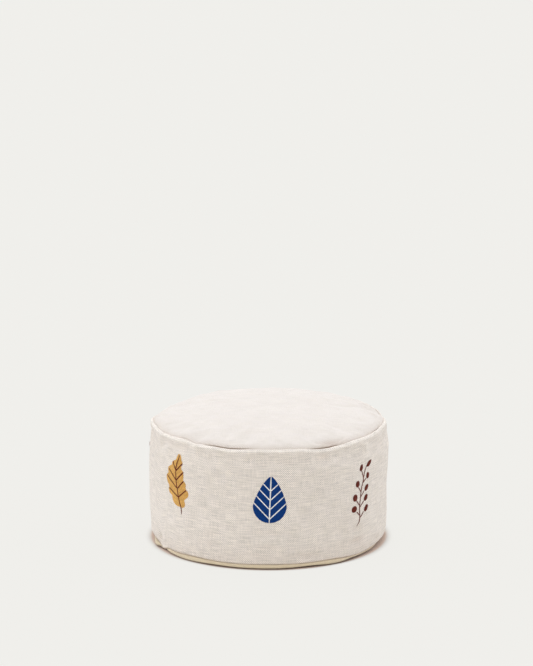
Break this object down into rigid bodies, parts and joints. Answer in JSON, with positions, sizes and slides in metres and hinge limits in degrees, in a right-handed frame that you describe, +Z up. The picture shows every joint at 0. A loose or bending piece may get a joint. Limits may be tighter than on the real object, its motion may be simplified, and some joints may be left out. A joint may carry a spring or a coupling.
{
  "type": "floor pouf",
  "caption": "Round, low canvas pouf with embroidered leaves and berries round its side, a zip in its base seam and a loose filling.",
  "frame": {"origin": "centre of the flat base, on the floor", "axes": "+Z up, through the middle of the crown; -Y towards the front, where the first blue leaf is"},
  "size_m": [0.4515, 0.4514, 0.253],
  "materials": {
    "top_canvas": "matte",
    "side_canvas": "matte",
    "base_twill": "matte",
    "binding": "matte",
    "stabiliser": "matte",
    "label": "matte",
    "zip_tape": "matte",
    "zip_nylon": "matte",
    "zip_metal": "satin",
    "liner_cloth": "matte",
    "bead_foam": "matte",
    "blue_thread": "matte",
    "white_thread": "matte",
    "mustard_thread": "matte",
    "brown_thread": "matte",
    "berry_thread": "matte"
  },
  "bodies": {
    "cover": {"top_panel": "top_canvas", "side_band": "side_canvas", "base_panel": "base_twill", "top_seam_binding": "binding", "base_seam_binding": "binding", "back_seam_binding": "binding", "embroidery_backing": "stabiliser", "care_label": "label", "zip_tape_upper": "zip_tape", "zip_tape_lower": "zip_tape", "zip_coil_upper": "zip_nylon", "zip_coil_lower": "zip_nylon", "zip_top_stops": "zip_metal", "zip_bottom_stop": "zip_metal", "blue_leaf_1_fill": "blue_thread", "blue_leaf_1_veins": "white_thread", "blue_leaf_2_fill": "blue_thread", "blue_leaf_2_veins": "white_thread", "blue_leaf_3_fill": "blue_thread", "blue_leaf_3_veins": "white_thread", "oak_leaf_1_fill": "mustard_thread", "oak_leaf_1_veins": "brown_thread", "oak_leaf_2_fill": "mustard_thread", "oak_leaf_2_veins": "brown_thread", "berry_sprig_1_stem": "berry_thread", "berry_sprig_1_berries": "berry_thread", "berry_sprig_2_stem": "berry_thread", "berry_sprig_2_berries": "berry_thread", "liner_top": "liner_cloth", "liner_side": "liner_cloth", "liner_base": "liner_cloth", "bead_filling": "bead_foam"},
    "zip_slider": {"zip_slider": "zip_metal"},
    "zip_pull": {"zip_pull": "zip_metal"}
  },
  "joints": [
    {"name": "zip_slide", "type": "hinge", "parent": "cover", "child": "zip_slider", "pos_m": [0, 0, 0], "axis": [0, 0, -1], "range_deg": [0, 137]},
    {"name": "pull_swing", "type": "hinge", "parent": "zip_slider", "child": "zip_pull", "pos_m": [-0.20697, 0.07533, 0.00925], "axis": [0, 0, 1], "range_deg": [0, 175]}
  ]
}
